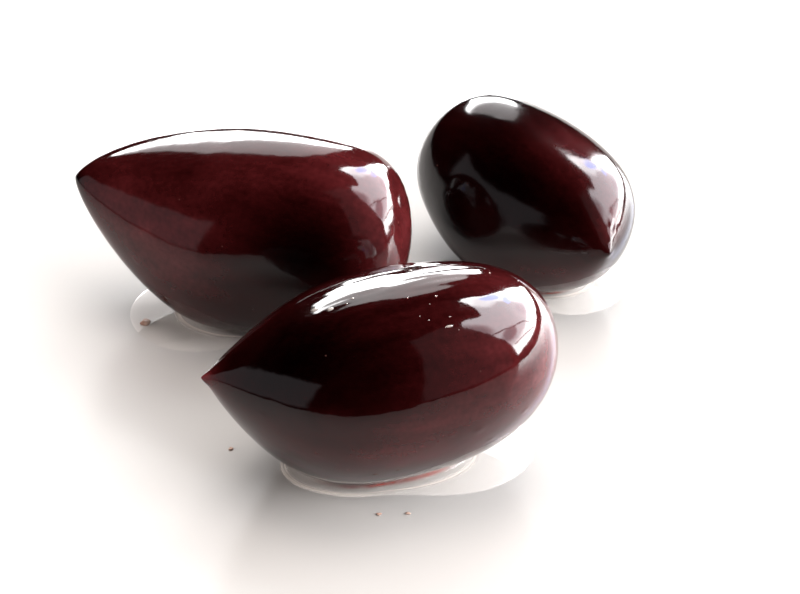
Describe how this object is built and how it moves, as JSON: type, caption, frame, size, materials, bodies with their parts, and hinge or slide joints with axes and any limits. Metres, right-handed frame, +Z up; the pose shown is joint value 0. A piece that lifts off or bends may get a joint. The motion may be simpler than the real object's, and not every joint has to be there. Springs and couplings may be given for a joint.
{
  "type": "group of brined black olives",
  "caption": "Whole brined black olives with pointed tips and blunt stem ends, lying loose on a flat surface as served.",
  "frame": {"origin": "on the resting surface, below the centre of the group's bounding box", "axes": "+Z up; the shown side faces -Y; +X to the right of someone who looks along +Y"},
  "size_m": [0.0468, 0.0492, 0.0183],
  "materials": {
    "skin_maroon": "gloss",
    "skin_red_brown": "gloss",
    "skin_black": "gloss"
  },
  "bodies": {
    "root": {"olive_front": "skin_maroon", "olive_left": "skin_red_brown", "olive_right": "skin_black"}
  },
  "joints": []
}
